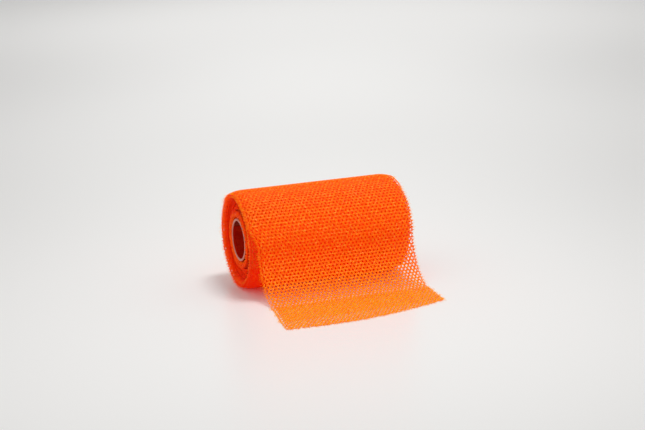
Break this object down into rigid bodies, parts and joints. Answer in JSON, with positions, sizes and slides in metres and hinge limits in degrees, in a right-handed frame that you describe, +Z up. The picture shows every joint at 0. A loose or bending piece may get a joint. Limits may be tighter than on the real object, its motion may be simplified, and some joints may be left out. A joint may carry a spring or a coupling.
{
  "type": "casting tape roll",
  "caption": "Roll of open-knit orthopaedic casting tape on a plastic core tube, its loose free end laid out in front and able to lift, bend and droop.",
  "frame": {"origin": "middle of the flat on which the roll rests, below the roll's axis", "axes": "+X along the roll's axis, -Y the way the free end comes off the roll, +Z up from the table"},
  "size_m": [0.1016, 0.1173, 0.0586],
  "materials": {
    "casting_fabric": "open knit of resin-coated glass fibre yarn, with a slight wet gloss",
    "wound_fabric": "the same knit, wound tight and seen edge on",
    "core_plastic": "translucent natural polyethylene, smooth",
    "strip_film": "thin white film tape"
  },
  "bodies": {
    "roll": {"core_tube": "core_plastic", "starter_strip": "strip_film", "inner_turns": "wound_fabric", "middle_turns": "wound_fabric", "outer_turns": "wound_fabric", "last_turn": "casting_fabric"},
    "free_end_1": {"free_end_1": "casting_fabric"},
    "free_end_2": {"free_end_2": "casting_fabric"},
    "free_end_3": {"free_end_3": "casting_fabric"},
    "free_end_4": {"free_end_4": "casting_fabric"},
    "free_end_5": {"free_end_5": "casting_fabric"},
    "free_end_6": {"free_end_6": "casting_fabric"}
  },
  "joints": [
    {"name": "lead_off_lift", "type": "hinge", "parent": "roll", "child": "free_end_1", "pos_m": [0, -0.0295, 0.02907], "axis": [-1, 0, 0], "range_deg": [0, 80]},
    {"name": "free_end_bend_2", "type": "hinge", "parent": "free_end_1", "child": "free_end_2", "pos_m": [0, -0.03145, 0.01777], "axis": [-1, 0, 0], "range_deg": [-20, 20]},
    {"name": "free_end_bend_3", "type": "hinge", "parent": "free_end_2", "child": "free_end_3", "pos_m": [0, -0.03762, 0.00801], "axis": [-1, 0, 0], "range_deg": [-20, 20]},
    {"name": "free_end_bend_4", "type": "hinge", "parent": "free_end_3", "child": "free_end_4", "pos_m": [0, -0.0468, 0.00107], "axis": [-1, 0, 0], "range_deg": [-20, 20]},
    {"name": "free_end_bend_5", "type": "hinge", "parent": "free_end_4", "child": "free_end_5", "pos_m": [0, -0.05829, 0.0003], "axis": [-1, 0, 0], "range_deg": [-20, 20]},
    {"name": "free_end_bend_6", "type": "hinge", "parent": "free_end_5", "child": "free_end_6", "pos_m": [0, -0.06989, 0.0003], "axis": [-1, 0, 0], "range_deg": [-20, 20]}
  ]
}
